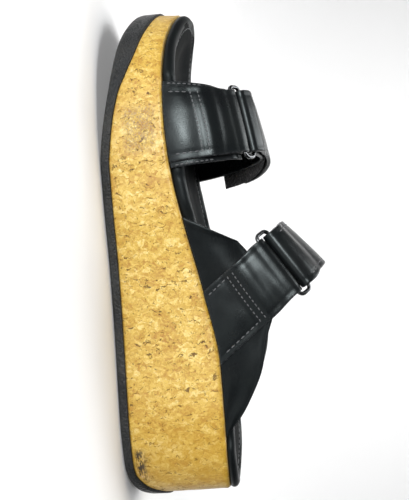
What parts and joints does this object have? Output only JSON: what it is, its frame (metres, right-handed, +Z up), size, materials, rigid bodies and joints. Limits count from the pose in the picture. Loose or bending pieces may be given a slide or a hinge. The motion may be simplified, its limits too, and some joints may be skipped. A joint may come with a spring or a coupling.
{
  "type": "platform sandal",
  "caption": "Left platform wedge sandal with cork-covered midsole, rubber outsole, padded footbed and ringed leather straps.",
  "frame": {"origin": "on the ground, under the middle of the shoe's box", "axes": "+X from heel to toe, +Y to the outer side of the left foot, +Z up"},
  "size_m": [0.2598, 0.0914, 0.1091],
  "materials": {
    "outsole_rubber": "matt, fine grained",
    "cork": "pressed cork granules, lightly lacquered",
    "footbed_lining": "soft, matt",
    "strap_leather": "smooth, half gloss",
    "strap_lining": "matt lining",
    "ring_metal": "dark nickel, polished",
    "hook_and_loop": "loop pile",
    "thread": "bonded sewing thread"
  },
  "bodies": {
    "root": {"outsole": "outsole_rubber", "midsole": "cork", "footbed": "footbed_lining", "front_lining": "strap_lining", "front_band": "strap_leather", "front_ring": "ring_metal", "front_strap": "strap_leather", "instep_quarter_outer": "strap_leather", "instep_quarter_inner": "strap_leather", "instep_band": "strap_leather", "instep_ring": "ring_metal", "instep_strap": "strap_leather"}
  },
  "joints": []
}
